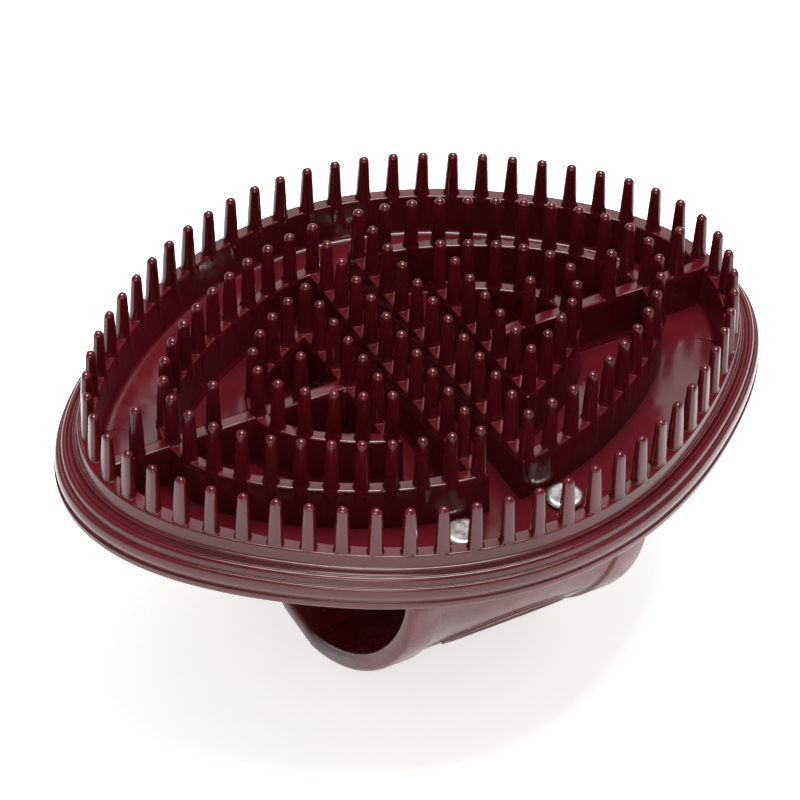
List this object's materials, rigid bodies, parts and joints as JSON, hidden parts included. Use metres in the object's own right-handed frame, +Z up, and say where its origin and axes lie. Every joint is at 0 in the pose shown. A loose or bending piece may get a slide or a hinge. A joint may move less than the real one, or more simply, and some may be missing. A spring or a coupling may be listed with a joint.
{
  "type": "rubber curry brush",
  "caption": "Oval rubber grooming brush for pets: a pad of tapered rubber teeth with a rubber hand strap riveted underneath as a loop.",
  "frame": {"origin": "middle of the strap loop's flat underside, below the middle of the pad, where the brush stands", "axes": "+X along the pad's long axis, +Y across the pad, along the strap loop, +Z up out of the teeth"},
  "size_m": [0.165, 0.1284, 0.082],
  "materials": {
    "pad_rubber": "glossy moulded rubber, deep burgundy",
    "strap_rubber": "satin moulded rubber, deep burgundy",
    "rivet_metal": "bright plated steel"
  },
  "bodies": {
    "root": {"toothed_pad": "pad_rubber", "hand_strap": "strap_rubber", "rivet_front_left": "rivet_metal", "rivet_front_right": "rivet_metal", "rivet_back_left": "rivet_metal", "rivet_back_right": "rivet_metal", "washer_front_left": "rivet_metal", "washer_front_right": "rivet_metal", "washer_back_left": "rivet_metal", "washer_back_right": "rivet_metal"}
  },
  "joints": []
}
